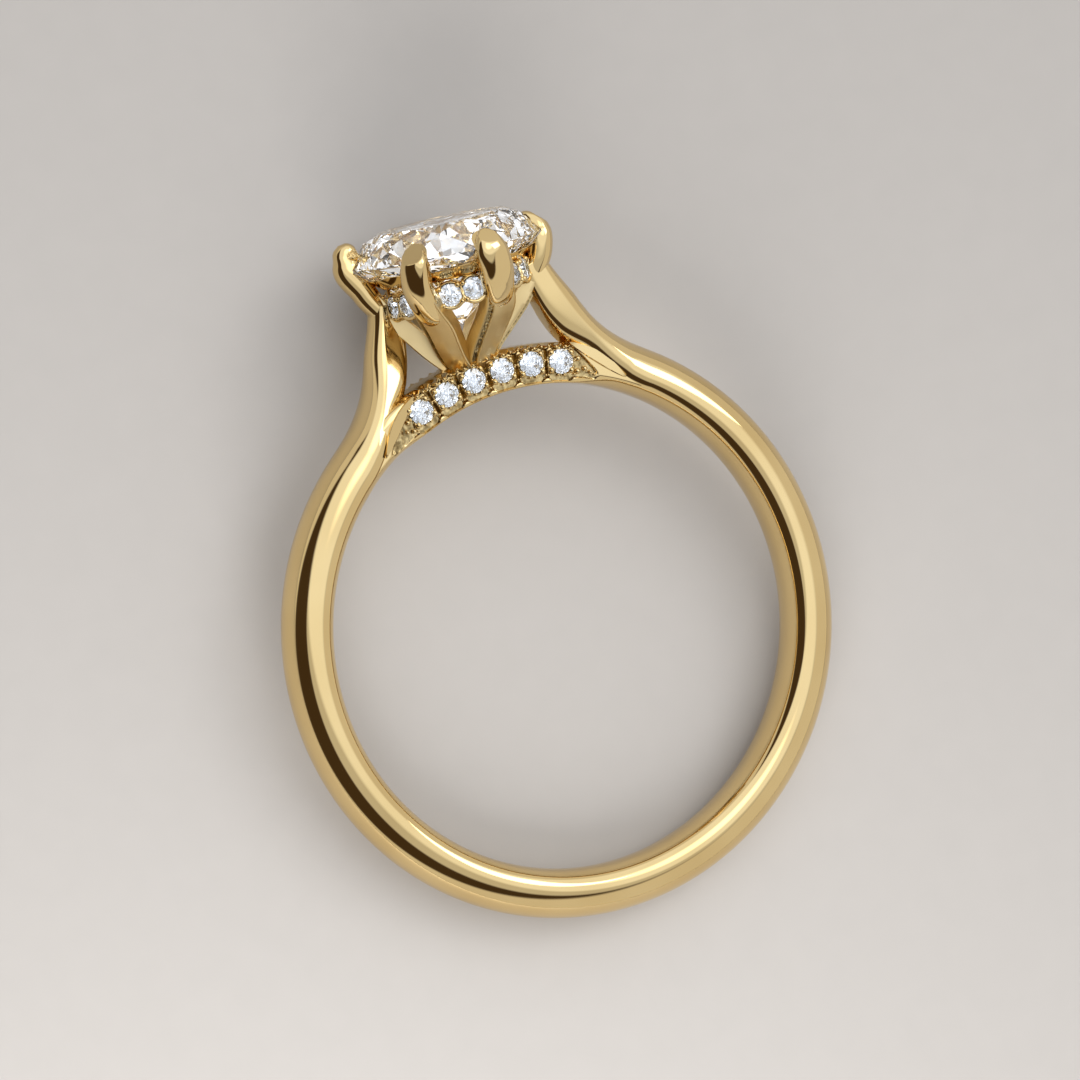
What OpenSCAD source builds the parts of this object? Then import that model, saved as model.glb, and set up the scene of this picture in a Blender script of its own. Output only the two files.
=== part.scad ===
// Engagement ring with a hidden halo, in millimetres.
// A round centre stone stands in six claws over a rail of small stones.
// Cathedral shoulders carry the head, and both faces of the bridge under it are stone-set.
// The ring lies on its side, as it rests on a table: the finger hole's axis is
// nearly upright, and the wide head lifts its own end of the ring a little.
// The origin is the centre of the finger hole.

/* [Shank] */
// Radius of the finger hole
hole_r = 8.25; // [7.5:0.05:10]
// Thickness of the shank from the finger hole outwards
shank_t = 1.7; // [1.5:0.05:2]
// Width of the shank along the finger
shank_w = 2.2; // [2:0.05:2.6]

/* [Bridge] */
// Thickness of the bridge from the finger hole outwards
bridge_t = 1.4; // [1.3:0.05:1.5]
// Width of the bridge along the finger
bridge_w = 1.9; // [1.8:0.05:2]
// Diameter of a stone in the bridge
bridge_stone_d = 0.85; // [0.7:0.05:0.9]
// Stones on each face of the bridge
bridge_stones = 6; // [4:1:6]
// Angle from one bridge stone to the next, seen from the hole's centre
bridge_pitch = 6.9; // [6.5:0.1:7]
// Angle by which the row of bridge stones sits to the left
bridge_shift = 1.2; // [0:0.1:1.5]
// Height of the row of bridge stones above the middle of the bridge
bridge_lift = 0.04; // [0:0.01:0.08]

/* [Shoulders] */
// Angle above the hole's centre at which a shoulder leaves the shank
shoulder_angle = 52; // [50:1:54]
// Thickness of a shoulder halfway up
shoulder_t = 1.16; // [1.1:0.02:1.4]
// Width of a shoulder halfway up, along the finger
shoulder_w = 2.1; // [1.9:0.05:2.2]

/* [Head] */
// Diameter of the centre stone
stone_d = 6.6; // [6.4:0.1:6.7]
// Height of the crown above the girdle
crown_h = 0.96; // [0.9:0.02:1.04]
// Depth of the pavilion below the girdle
pavilion_h = 2.55; // [2.5:0.05:2.7]
// Thickness of the girdle
girdle_t = 0.1; // [0.06:0.02:0.14]
// Diameter of the table
table_d = 4.5; // [3.8:0.1:4.6]
// Height of the culet above the bridge
culet_rise = 1.15; // [1:0.05:1.3]
// Angle by which the head is turned about its own axis
head_turn = 17; // [15:1:20]
// Angle by which each front and back claw stands closer to its pair
claw_pinch = 4; // [0:0.5:5]
// Distance by which the left claw bulges further out than the others
left_bulge = 0.22; // [0:0.02:0.26]
// Height by which its tip stands over the others
left_rise = 0.2; // [0:0.02:0.24]
// Angle by which the centre stone leans to the right
stone_lean = 4.5; // [0:0.5:5]

/* [Halo] */
// Radius of the ring of halo girdles
halo_r = 2.48; // [2.44:0.02:2.54]
// Diameter of a halo stone
halo_stone_d = 0.78; // [0.7:0.02:0.78]
// Angle from the middle of a gap to each of its two stones
halo_half_pitch = 9.6; // [9.4:0.1:10]
// Height of the halo stones below the girdle
halo_drop = 1.3; // [1.25:0.05:1.35]

/* [Rest] */
// Angle by which the head's end is lifted where the ring lies
rest_pitch = 6.4; // [5:0.1:7]
// Angle by which the ring leans to one side where it lies
rest_roll = 0.3; // [-2:0.1:2]

/* [Hidden] */
CLAWS = 6;
LEFT = 3;                // the left claw, counting from the right-hand one towards the front
gap = 0.03;              // clearance between a stone and the metal round it
cut_over = 0.5;          // how far a cutting shape runs past the metal
hole_cut = 12;           // length of the cut that opens the finger hole
lap = 3;                 // angle by which shank, bridge and shoulders run into each other
shank_r = hole_r + shank_t;
bridge_r = hole_r + bridge_t;
section_sides = 24;
waist = 0.42;            // share of the shank's thickness at which it is widest
inner_power = 2.2;       // how square the shank's inner side is
inner_dip = 0.05;        // how far its section reaches into the hole before the hole is cut
culet_y = bridge_r + culet_rise;
girdle_y = culet_y + pavilion_h + girdle_t / 2;
stone_r = stone_d / 2;
halo_y = girdle_y - halo_drop;
shank_wide_r = hole_r + waist * shank_t;
table_r = table_d / 2;
star_r = mix(table_r, stone_r, 0.45);   // where two kites and a star meet
star_z = crown_h * (stone_r - star_r * cos(22.5)) / (stone_r - table_r);
lower_r = 0.24 * stone_r;               // where two pavilion mains part
lower_z = -pavilion_h * (1 - lower_r * cos(22.5) / stone_r);
seat_step = 0.16;        // depth of the wide part of a small stone's seat
seat_sides = 12;
halo_seat_h = 0.6;       // depth of a whole seat in the halo
bridge_seat_h = 0.5;     // depth of a whole seat in the bridge
rail_border = 0.12;      // metal above and below the halo stones
rail_t = 0.44;           // thickness of the halo's rail
soft = 0.12;             // size of a softened edge
gold = [0.86, 0.70, 0.40];
diamond = [0.90, 0.93, 0.96];

// One leg with its claw, from the bridge to the tip on the crown.
// Columns: distance from the head's axis, height above the girdle,
// half width round the head, half depth towards the axis.
CLAW = [
    [0.45, -3.95, 0.30, 0.30],
    [1.00, -3.25, 0.36, 0.33],
    [1.65, -2.60, 0.41, 0.35],
    [2.25, -2.00, 0.46, 0.37],
    [2.72, -1.42, 0.50, 0.41],
    [3.04, -0.80, 0.53, 0.45],
    [3.18, -0.25, 0.53, 0.45],
    [3.17,  0.06, 0.49, 0.40],
    [3.11,  0.28, 0.40, 0.29],
    [2.99,  0.43, 0.26, 0.18],
    [2.86,  0.53, 0.10, 0.09]];

// The corner rings of a small stone from its culet to its table.
// Columns: radius and height above the girdle, as shares of the stone's diameter.
SMALL_CUT = [
    [0.03, -0.42],
    [0.50, -0.025],
    [0.50,  0.025],
    [0.29,  0.16]];

// A shoulder's centre line is one Bezier curve in the ring's plane. It leaves the shank
// along the shank's own curve and leans in towards its claw.
shoulder_mid_r = (hole_r + shank_r) / 2;
shoulder_start = shoulder_mid_r * [cos(shoulder_angle), sin(shoulder_angle)];
shoulder_end = [2.64, girdle_y - 1.15];
shoulder_leave = 1.7;    // reach of the curve's first handle
shoulder_arrive = 2.4;   // reach of its second handle
shoulder_lean = 12;      // lean of its upper end from upright
shoulder_rings = 14;

// Sign of a number, with zero counted as positive
function side(v) = v < 0 ? -1 : 1;

// Smooth step from 0 at a to 1 at b
function ease(v, a, b) = let(u = min(1, max(0, (v - a) / (b - a)))) u * u * (3 - 2 * u);

function mix(a, b, u) = a + (b - a) * u;

// A closed section of half width w: an ellipse outwards by out, and a squarer curve
// of the given power inwards by inn. Each point is [outwards, along the finger].
function section(w, out, inn, power, sides = section_sides) = [
    for (i = [0:sides - 1])
        let(a = 360 * i / sides, c = cos(a), s = sin(a), e = c < 0 ? 2 / power : 1)
        [(c < 0 ? -inn : out) * pow(abs(c), e), w * side(s) * pow(abs(s), e)]];

// A solid through a list of rings with the same number of points each
module skin(rings) {
    n = len(rings[0]);
    last = len(rings) - 1;
    points = [for (ring = rings) for (p = ring) p];
    walls = [for (k = [0:last - 1]) for (i = [0:n - 1])
        let(a = k * n + i, b = k * n + (i + 1) % n)
        each [[a, b, a + n], [b, b + n, a + n]]];
    caps = [[for (i = [n - 1:-1:0]) i], [for (i = [0:n - 1]) last * n + i]];
    polyhedron(points, concat(walls, caps));
}

// The ring as it lies on its side
module at_rest() { rotate([rest_pitch, rest_roll, 0]) children(); }

// The head's own frame: z runs up the head, and the bridge is below
module in_head() { rotate([-90, 0, 0]) children(); }

// Leans what it holds about the centre stone's girdle
module leaning() {
    translate([0, 0, girdle_y]) rotate([0, stone_lean, 0]) translate([0, 0, -girdle_y]) children();
}

module shank() {
    profile = [for (p = section(shank_w / 2, shank_r - shank_wide_r,
        shank_wide_r - hole_r + inner_dip, inner_power)) [shank_wide_r + p[0], p[1]]];
    reach = shoulder_angle + lap;
    rotate([0, 0, 180 - reach]) rotate_extrude(angle = 180 + 2 * reach, $fn = 120)
        polygon(profile);
}

module bridge() {
    half = bridge_w / 2;
    inner = hole_r - 2 * inner_dip;
    profile = [[inner, -half + soft], [hole_r + soft, -half], [bridge_r - soft, -half],
        [bridge_r, -half + soft], [bridge_r, half - soft], [bridge_r - soft, half],
        [hole_r + soft, half], [inner, half - soft]];
    reach = shoulder_angle - lap;
    rotate([0, 0, reach]) rotate_extrude(angle = 180 - 2 * reach, $fn = 120) polygon(profile);
}

function bezier(a, b, c, d, u) =
    a * pow(1 - u, 3) + 3 * b * u * pow(1 - u, 2) + 3 * c * u * u * (1 - u) + d * pow(u, 3);

// One ring of a shoulder: u runs from the shank to the claw. It starts as thick and wide
// as the shank, is at its named size halfway up, and tapers into the claw's leg.
function shoulder_ring(u) =
    let(
        leave = [-sin(shoulder_angle), cos(shoulder_angle)],
        arrive = [-sin(shoulder_lean), cos(shoulder_lean)],
        b = shoulder_start + shoulder_leave * leave,
        c = shoulder_end - shoulder_arrive * arrive,
        p = bezier(shoulder_start, b, c, shoulder_end, u),
        q = bezier(shoulder_start, b, c, shoulder_end, u + 0.001),
        run = (q - p) / norm(q - p),
        outwards = [run[1], -run[0]],
        thin = mix(shank_t, shoulder_t, ease(u, 0, 0.6)) * mix(0.5, 0.25, ease(u, 0.75, 1)),
        wide = mix(shank_w, shoulder_w, ease(u, 0, 0.5)) * mix(0.5, 0.2, ease(u, 0.65, 1)),
        drift = sin(head_turn) * shoulder_end[0] * ease(u, 0.65, 1))
    [for (s = section(wide + gap, thin + gap, thin + gap, inner_power))
        [p[0] + outwards[0] * s[0], p[1] + outwards[1] * s[0], drift + s[1]]];

module shoulder() {
    skin([for (k = [0:shoulder_rings]) shoulder_ring(k / shoulder_rings)]);
}

// Centre of one ring of a claw in the head's frame, leaning with the stone towards the top
function claw_centre(row, turn) =
    let(
        lean = stone_lean * ease(row[1], -2.3, -0.2),
        x = row[0] * cos(turn),
        y = row[0] * sin(turn))
    [x + row[1] * sin(lean), y, girdle_y + row[1] - x * sin(lean)];

function unit(v) = v / norm(v);

// One claw with its leg: bulge pushes its upper part out, and rise lifts its tip
module claw(turn, bulge, rise, sides = 12) {
    rows = [for (row = CLAW)
        [row[0] + bulge * ease(row[1], -0.8, -0.1) * (1 - ease(row[1], 0.2, 0.55)),
            row[1] + rise * ease(row[1], -0.8, 0.2), row[2], row[3]]];
    centres = [for (row = rows) claw_centre(row, turn)];
    last = len(rows) - 1;
    around = [-sin(turn), cos(turn), 0];
    skin([for (k = [0:last])
        let(
            run = unit(centres[min(last, k + 1)] - centres[max(0, k - 1)]),
            out = unit(cross(around, run)))
        [for (i = [0:sides - 1])
            let(a = -360 * i / sides)
            centres[k] + out * rows[k][3] * cos(a) + around * rows[k][2] * sin(a)]]);
}

// The rail that carries the halo stones
module halo_rail() {
    half = halo_stone_d / 2 + rail_border;
    inner = halo_r - rail_t;
    translate([0, 0, halo_y]) rotate_extrude($fn = 96)
        polygon([[inner, -half + soft], [halo_r - soft, -half], [halo_r, -half + soft],
            [halo_r, half - soft], [halo_r - soft, half], [inner, half]]);
}

// The space that the centre stone and its clearance take out of the claws
module centre_seat() {
    r = stone_r + gap;
    top = girdle_t / 2 + gap;
    leaning() translate([0, 0, girdle_y]) rotate_extrude($fn = 96)
        polygon([[0, -top - pavilion_h], [lower_r, -top + lower_z], [r, -top], [r, top],
            [star_r + gap, top + star_z], [table_r + gap, top + crown_h], [0, top + crown_h]]);
}

// Radius of a small stone's pavilion at a depth below its girdle
function pavilion_radius(d, depth) =
    let(tip = d * SMALL_CUT[0], edge = d * SMALL_CUT[1])
    mix(tip[0], edge[0], (-depth - tip[1]) / (edge[1] - tip[1]));

// The seat of a small stone that faces +z with its girdle at z = 0:
// a wide step for the girdle, and a narrower hole behind it
module small_seat(d, depth) {
    corner = 1 / cos(180 / seat_sides);
    translate([0, 0, -seat_step])
        cylinder(h = seat_step + cut_over, r = (d / 2 + gap) * corner, $fn = seat_sides);
    translate([0, 0, -depth]) cylinder(h = depth,
        r = (pavilion_radius(d, seat_step) + 1.5 * gap) * corner, $fn = seat_sides);
}

// A small round stone with eight crown and eight pavilion facets, facing +z
module small_stone(d) {
    skin([for (row = SMALL_CUT)
        [for (i = [0:7]) d * [row[0] * cos(45 * i), -row[0] * sin(45 * i), row[1]]]]);
}

// Angle of claw k round the head, counting from the right-hand claw towards the front
function claw_angle(k) =
    let(step = k % 3 == 1 ? claw_pinch : k % 3 == 2 ? -claw_pinch : 0)
    -(head_turn + 360 * k / CLAWS + step);

// Places a small stone or its seat on the halo: i counts from 0, two to a gap
module at_halo(i) {
    k = floor(i / 2);
    spread = (i % 2 == 0 ? 1 : -1) * halo_half_pitch;
    turn = (claw_angle(k) + claw_angle(k + 1)) / 2 + spread;
    in_head() rotate([0, 0, turn]) translate([halo_r, 0, halo_y]) rotate([0, 90, 0]) children();
}

// Places a small stone or its seat on one face of the bridge: i counts from 0
module at_bridge(i, face) {
    turn = 90 + bridge_shift + bridge_pitch * ((bridge_stones - 1) / 2 - i);
    rotate([0, 0, turn]) translate([bridge_r - bridge_t / 2 + bridge_lift, 0, face * bridge_w / 2])
        rotate([face > 0 ? 0 : 180, 0, 0]) children();
}

module gold_mount() {
    color(gold) at_rest() difference() {
        union() {
            shank();
            bridge();
            shoulder();
            rotate([0, 180, 0]) shoulder();
            in_head() {
                halo_rail();
                for (k = [0:CLAWS - 1])
                    claw(claw_angle(k), k == LEFT ? left_bulge : 0, k == LEFT ? left_rise : 0);
            }
        }
        cylinder(h = hole_cut, r = hole_r, center = true, $fn = 180);
        in_head() centre_seat();
        for (i = [0:2 * CLAWS - 1]) at_halo(i) small_seat(halo_stone_d, halo_seat_h);
        for (i = [0:bridge_stones - 1], face = [-1, 1])
            at_bridge(i, face) small_seat(bridge_stone_d, bridge_seat_h);
    }
}

// A round brilliant: table, eight stars, eight kites, sixteen upper and sixteen lower
// halves, and eight pavilion mains. The middle of a kite's two side corners lies on the line
// between its other two corners, which keeps the kite flat.
module centre_stone() {
    top = girdle_t / 2;
    function at(r, a, z) = [r * cos(a), r * sin(a), z];
    points = concat(
        [for (i = [0:7]) at(table_r, 45 * i, top + crown_h)],
        [for (i = [0:7]) at(star_r, 45 * i + 22.5, top + star_z)],
        [for (i = [0:15]) at(stone_r, 22.5 * i, top)],
        [for (i = [0:15]) at(stone_r, 22.5 * i, -top)],
        [for (i = [0:7]) at(lower_r, 45 * i + 22.5, -top + lower_z)],
        [[0, 0, -top - pavilion_h]]);
    table = [[for (i = [7:-1:0]) i]];
    cut = [for (i = [0:7])
        let(
            j = (i + 1) % 8, h = (i + 7) % 8, g = 16 + 2 * i, m = 16 + (2 * i + 1) % 16,
            n = 16 + (2 * i + 2) % 16)
        each [
            [i, j, 8 + i],
            [8 + i, g, i], [i, g, 8 + h],
            [8 + i, m, g], [8 + i, n, m],
            [g, m, m + 16], [g, m + 16, g + 16],
            [m, n, n + 16], [m, n + 16, m + 16],
            [48 + i, g + 16, m + 16], [48 + i, m + 16, n + 16],
            [56, g + 16, 48 + i], [56, 48 + h, g + 16]]];
    color(diamond) at_rest() in_head() leaning() translate([0, 0, girdle_y])
        polyhedron(points, concat(table, cut));
}

module halo_stone(i) {
    color(diamond) at_rest() at_halo(i) small_stone(halo_stone_d);
}

module bridge_stone(i, face) {
    color(diamond) at_rest() at_bridge(i, face) small_stone(bridge_stone_d);
}

gold_mount();
centre_stone();
for (i = [1:2 * CLAWS])
    halo_stone(i - 1);
for (i = [1:bridge_stones])
    bridge_stone(i - 1, 1);
for (i = [1:bridge_stones])
    bridge_stone(i - 1, -1);
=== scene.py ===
# Engagement ring with a hidden halo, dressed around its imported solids.
# Shapes are worked out in the ring's own frame in millimetres: x across the ring,
# y up to the centre stone, z along the finger hole. placePiece turns them to rest.
import math

import bpy
import numpy as np
from mathutils import Matrix, Vector


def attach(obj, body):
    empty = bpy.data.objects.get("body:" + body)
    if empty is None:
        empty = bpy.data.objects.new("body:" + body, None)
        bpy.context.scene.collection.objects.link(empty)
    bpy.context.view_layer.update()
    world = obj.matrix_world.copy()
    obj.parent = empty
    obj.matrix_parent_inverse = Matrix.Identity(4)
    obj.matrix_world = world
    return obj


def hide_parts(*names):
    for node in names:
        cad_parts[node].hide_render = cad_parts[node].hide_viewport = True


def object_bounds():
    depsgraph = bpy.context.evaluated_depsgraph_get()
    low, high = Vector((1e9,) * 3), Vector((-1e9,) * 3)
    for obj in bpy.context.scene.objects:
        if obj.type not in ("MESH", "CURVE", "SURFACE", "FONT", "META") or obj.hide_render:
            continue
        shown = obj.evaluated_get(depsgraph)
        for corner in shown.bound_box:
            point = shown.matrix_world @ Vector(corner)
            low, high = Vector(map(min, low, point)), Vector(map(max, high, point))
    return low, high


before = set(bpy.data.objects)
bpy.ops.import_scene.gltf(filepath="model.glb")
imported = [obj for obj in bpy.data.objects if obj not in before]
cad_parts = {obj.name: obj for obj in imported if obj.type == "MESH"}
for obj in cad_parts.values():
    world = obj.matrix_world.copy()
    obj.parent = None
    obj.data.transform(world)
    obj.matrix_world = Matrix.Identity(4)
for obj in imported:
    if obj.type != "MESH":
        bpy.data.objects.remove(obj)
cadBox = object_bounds()
print("frame loaded:", len(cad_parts), "nodes")

mm = 0.001
restTurn = {"pitch": 6.4, "roll": 0.3}  # how the ring tips where it lies, in degrees
goldParts = {"slot": "yellow_gold", "node": "gold_mount"}

# the ring's main sizes, as the solids have them
shank = {"hole": 8.25, "thick": 1.7, "width": 2.2, "waist": 0.42, "innerPower": 2.2, "rings": 300}
bridge = {"thick": 1.4, "width": 1.9, "stone": 0.85, "stones": 6, "pitch": 6.9, "shift": 1.2, "lift": 0.04}
shoulder = {
    "angle": 52, "thick": 1.16, "width": 2.1, "lean": 12, "leave": 1.7, "arrive": 2.4,
    "endRadius": 2.64, "endDrop": 1.15, "rings": 150,
}
head = {
    "stone": 6.6, "crown": 0.96, "pavilion": 2.55, "girdle": 0.1, "table": 4.5,
    "culetRise": 1.15, "turn": 17, "pinch": 4, "stoneLean": 4.5, "claws": 6,
}
halo = {"radius": 2.48, "stone": 0.78, "halfPitch": 9.6, "drop": 1.3}

shankOuter = shank["hole"] + shank["thick"]
shankMiddle = (shank["hole"] + shankOuter) / 2
bridgeOuter = shank["hole"] + bridge["thick"]
bridgeRow = (shank["hole"] + bridgeOuter) / 2 + bridge["lift"]
girdleY = bridgeOuter + head["culetRise"] + head["pavilion"] + head["girdle"] / 2
haloY = girdleY - halo["drop"]
stoneRadius = head["stone"] / 2


# a turn about one axis, as a matrix
def turnMatrix(axis, degrees):
    return np.array(Matrix.Rotation(math.radians(degrees), 3, axis))


restMatrix = turnMatrix("Y", restTurn["roll"]) @ turnMatrix("X", restTurn["pitch"])


# smooth step: 0 below a, 1 above b, and 3u^2 - 2u^3 between
def ease(v, a, b):
    u = np.clip((v - a) / (b - a), 0, 1)
    return u * u * (3 - 2 * u)


# a where u is 0, b where u is 1, and in proportion between
def mix(a, b, u):
    return a + (b - a) * u


# each vector divided by its own length
def unit(v):
    return v / np.linalg.norm(v, axis=-1, keepdims=True)


# rows of a short table carried through a Catmull-Rom curve: each value is a cubic of the four
# rows around it
def throughRows(rows, count):
    rows = np.asarray(rows, float)
    padded = np.vstack([2 * rows[0] - rows[1], rows, 2 * rows[-1] - rows[-2]])
    at = np.linspace(0, len(rows) - 1, count)
    k = np.minimum(at.astype(int), len(rows) - 2)
    u = (at - k)[:, None]
    a, b, c, d = padded[k], padded[k + 1], padded[k + 2], padded[k + 3]
    return 0.5 * (2 * b + (c - a) * u + (2 * a - 5 * b + 4 * c - d) * u**2 + (3 * b - a - 3 * c + d) * u**3)


# head frame to ring frame: the head's z is the ring's y, and its y is the ring's -z
def fromHead(p):
    return np.stack([p[..., 0], p[..., 2], -p[..., 1]], axis=-1)


# leans points of the head towards +x with the stone, or back, by a turn about the girdle's centre
def leaned(p, way=1):
    a = way * np.radians(head["stoneLean"])
    x, z = p[..., 0], p[..., 2] - girdleY
    out, up = x * np.cos(a) + z * np.sin(a), girdleY - x * np.sin(a) + z * np.cos(a)
    return np.stack([out, p[..., 1], up], axis=-1)


# x and y at a distance from the hole's centre and at an angle in degrees
def atAngle(radius, degrees):
    a = np.radians(degrees)
    return radius * np.cos(a), radius * np.sin(a)


# points at a distance from the z axis, at an angle in radians and at a height
def aroundAxis(radius, turn, height):
    x, y = radius * np.cos(turn), radius * np.sin(turn)
    return np.stack(np.broadcast_arrays(x, y, height), axis=-1)


# count angles in even steps round a circle, in radians
def roundTurn(count):
    return np.radians(np.arange(count) * 360 / count)


# faces of a grid of points whose columns go round and whose rows can: cell (i, j) joins (i, j),
# (i, j+1), (i+1, j+1) and (i+1, j)
def gridFaces(rows, cols, closeRows=False):
    i = np.arange(rows if closeRows else rows - 1)[:, None]
    j = np.arange(cols)[None, :]
    below, right = (i + 1) % rows, (j + 1) % cols
    corners = (i * cols + j, i * cols + right, below * cols + right, below * cols + j)
    return np.stack(np.broadcast_arrays(*corners), axis=-1).reshape(-1, 4)


# a closed skin through rings of points, with a pole in the middle of each end ring
def tube(rings):
    n, m = rings.shape[:2]
    points = np.vstack([rings.reshape(-1, 3), rings[0].mean(0), rings[-1].mean(0)])
    j = np.arange(m)
    first = np.stack([np.full(m, n * m), (j + 1) % m, j], axis=-1)
    last = np.stack([np.full(m, n * m + 1), (n - 1) * m + j, (n - 1) * m + (j + 1) % m], axis=-1)
    return points, gridFaces(n, m).tolist() + first.tolist() + last.tolist()


# a closed skin through rings of points of which the last joins the first
def closedRing(rings):
    n, m = rings.shape[:2]
    return rings.reshape(-1, 3), gridFaces(n, m, closeRows=True).tolist()


# six times a closed mesh's volume: the sum of a . (b x c) over its triangles
def signedVolume(points, faces):
    fans = [(f[0], f[k], f[k + 1]) for f in faces for k in range(1, len(f) - 1)]
    a, b, c = (points[np.array(fans)[:, k]] for k in range(3))
    return float(np.einsum("ij,ij->i", a, np.cross(b, c)).sum())


# a new object in the scene
def addObject(name, data):
    thing = bpy.data.objects.new(name, data)
    bpy.context.scene.collection.objects.link(thing)
    return thing


# puts a finished piece into the scene: turned to rest, in metres, faces outward
def placePiece(name, shape, materials, info=goldParts, sharp=None, faceMaterials=None):
    points, faces = shape
    if signedVolume(points, faces) < 0:
        faces = [f[::-1] for f in faces]
    mesh = bpy.data.meshes.new(name)
    mesh.from_pydata((points @ restMatrix.T * mm).tolist(), [], faces)
    for material in materials:
        mesh.materials.append(material)
    if faceMaterials is not None:
        mesh.polygons.foreach_set("material_index", np.asarray(faceMaterials, np.int32))
    mesh.polygons.foreach_set("use_smooth", np.full(len(faces), sharp != 0))
    if sharp:
        mesh.set_sharp_from_angle(angle=math.radians(sharp))
    mesh.validate()
    piece = addObject(name, mesh)
    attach(piece, "root")
    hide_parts(info["node"])


# several closed meshes put into one, each turned outward by itself
def joined(parts):
    points, faces, start = [], [], 0
    for p, f in parts:
        f = f if signedVolume(p, f) > 0 else [face[::-1] for face in f]
        points.append(p)
        faces += [[v + start for v in face] for face in f]
        start += len(p)
    return np.vstack(points), faces


# a closed section: an ellipse outwards, and inwards a squarer curve, whose cosine and sine are
# raised to 2 divided by the power
def bandSection(outer, inner, halfWidth, power, sides):
    c, s = np.cos(roundTurn(sides)), np.sin(roundTurn(sides))
    e = np.where(c < 0, 2 / power[:, None], 1.0)
    reach = np.where(c < 0, -inner[:, None], outer[:, None]) * np.abs(c) ** e
    return reach, halfWidth[:, None] * np.sign(s) * np.abs(s) ** e


# materials
polishLook = {
    "stretch": (1.0, 0.12, 0.4), "detail": (3.0, 2.0), "inputs": ("Hair Scale", "Smear Scale"),
    "outputs": ("Hairlines", "Smears"),
}


# fine polishing marks: stretched noise for the hairlines, soft noise for the smears
def buildPolishGroup():
    look = polishLook
    group = bpy.data.node_groups.new("polishMarks", "ShaderNodeTree")
    group.interface.new_socket(name="Vector", in_out="INPUT", socket_type="NodeSocketVector")
    for way, names in (("INPUT", look["inputs"]), ("OUTPUT", look["outputs"])):
        for name in names:
            group.interface.new_socket(name=name, in_out=way, socket_type="NodeSocketFloat")
    nodes, links = group.nodes, group.links
    source, result = nodes.new("NodeGroupInput"), nodes.new("NodeGroupOutput")
    stretch = nodes.new("ShaderNodeMapping")
    stretch.inputs["Scale"].default_value = look["stretch"]
    links.new(source.outputs["Vector"], stretch.inputs["Vector"])
    starts = (stretch.outputs["Vector"], source.outputs["Vector"])
    for start, scale, detail, name in zip(starts, look["inputs"], look["detail"], look["outputs"]):
        noise = nodes.new("ShaderNodeTexNoise")
        noise.inputs["Detail"].default_value = detail
        links.new(start, noise.inputs["Vector"])
        links.new(source.outputs[scale], noise.inputs["Scale"])
        links.new(noise.outputs["Fac"], result.inputs[name])
    return group


polishGroup = buildPolishGroup()


# a material whose colour drifts between two tones with the smears, and whose roughness drifts
# with the smears or the hairlines
def markedMaterial(name, look, stops, roughBy):
    material = bpy.data.materials.new(name)
    material.use_nodes = True
    nodes, links = material.node_tree.nodes, material.node_tree.links
    shader = nodes["Principled BSDF"]
    place = nodes.new("ShaderNodeTexCoord")
    marks = nodes.new("ShaderNodeGroup")
    marks.node_tree = polishGroup
    marks.inputs["Hair Scale"].default_value = look["hair"]
    marks.inputs["Smear Scale"].default_value = look["smear"]
    links.new(place.outputs["Object"], marks.inputs["Vector"])
    tone = nodes.new("ShaderNodeValToRGB")
    for end, stop, colour in zip(tone.color_ramp.elements, stops, look["tones"]):
        end.position, end.color = stop, (*colour, 1)
    links.new(marks.outputs["Smears"], tone.inputs["Fac"])
    links.new(tone.outputs["Color"], shader.inputs["Base Color"])
    rough = nodes.new("ShaderNodeMapRange")
    rough.inputs["To Min"].default_value, rough.inputs["To Max"].default_value = look["roughness"]
    links.new(marks.outputs[roughBy], rough.inputs["Value"])
    links.new(rough.outputs["Result"], shader.inputs["Roughness"])
    return material, shader, marks


# gold, with a bump of hairlines
def goldMaterial(name, look):
    material, shader, marks = markedMaterial(name, look, (0.3, 0.7), "Smears")
    nodes, links = material.node_tree.nodes, material.node_tree.links
    shader.inputs["Metallic"].default_value = 1.0
    bump = nodes.new("ShaderNodeBump")
    bump.inputs["Strength"].default_value = look["bump"]
    bump.inputs["Distance"].default_value = look["depth"]
    links.new(marks.outputs["Hairlines"], bump.inputs["Height"])
    links.new(bump.outputs["Normal"], shader.inputs["Normal"])
    return material


polishedGold = goldMaterial("polished_gold", {
    "tones": ((0.72, 0.53, 0.245), (0.78, 0.59, 0.29)), "roughness": (0.03, 0.08),
    "hair": 5000.0, "smear": 350.0, "bump": 0.12, "depth": 0.000002,
})
satinGold = goldMaterial("satin_gold", {
    "tones": ((0.70, 0.53, 0.26), (0.80, 0.62, 0.32)), "roughness": (0.24, 0.38),
    "hair": 5000.0, "smear": 900.0, "bump": 0.2, "depth": 0.000004,
})
# engraved gold: the smears drift its colour down to a near-black brown, which is painted shade of the fine
# cuts and of the gaps between stones
engravedShadeGold = goldMaterial("engraved_gold_painted_shade", {
    "tones": ((0.22, 0.15, 0.06), (0.74, 0.57, 0.28)), "roughness": (0.14, 0.32),
    "hair": 12000.0, "smear": 5200.0, "bump": 0.9, "depth": 0.00003,
})


# clear cut stone: faint polish drag in the roughness, and colour through it: a breath of tint in the centre
# stone, painted grey shade in the small ones
def stoneMaterial(name, look):
    material, shader, marks = markedMaterial(name, look, (0.0, 1.0), "Hairlines")
    shader.inputs["IOR"].default_value = 2.417  # a diamond's
    shader.inputs["Transmission Weight"].default_value = 1.0
    return material


centreDiamond = stoneMaterial("centre_diamond_glass", {
    "tones": ((0.97, 0.98, 1.0), (1.0, 0.99, 0.96)), "roughness": (0.0, 0.012),
    "hair": 6000.0, "smear": 500.0,
})
# the small stones' blue-grey tone is painted shade, darkening stones that are clear and white
smallShadedDiamond = stoneMaterial("small_diamond_glass_shaded", {
    "tones": ((0.46, 0.54, 0.64), (0.88, 0.90, 0.92)), "roughness": (0.0, 0.02),
    "hair": 9000.0, "smear": 2600.0,
})
print("materials ready")


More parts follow.
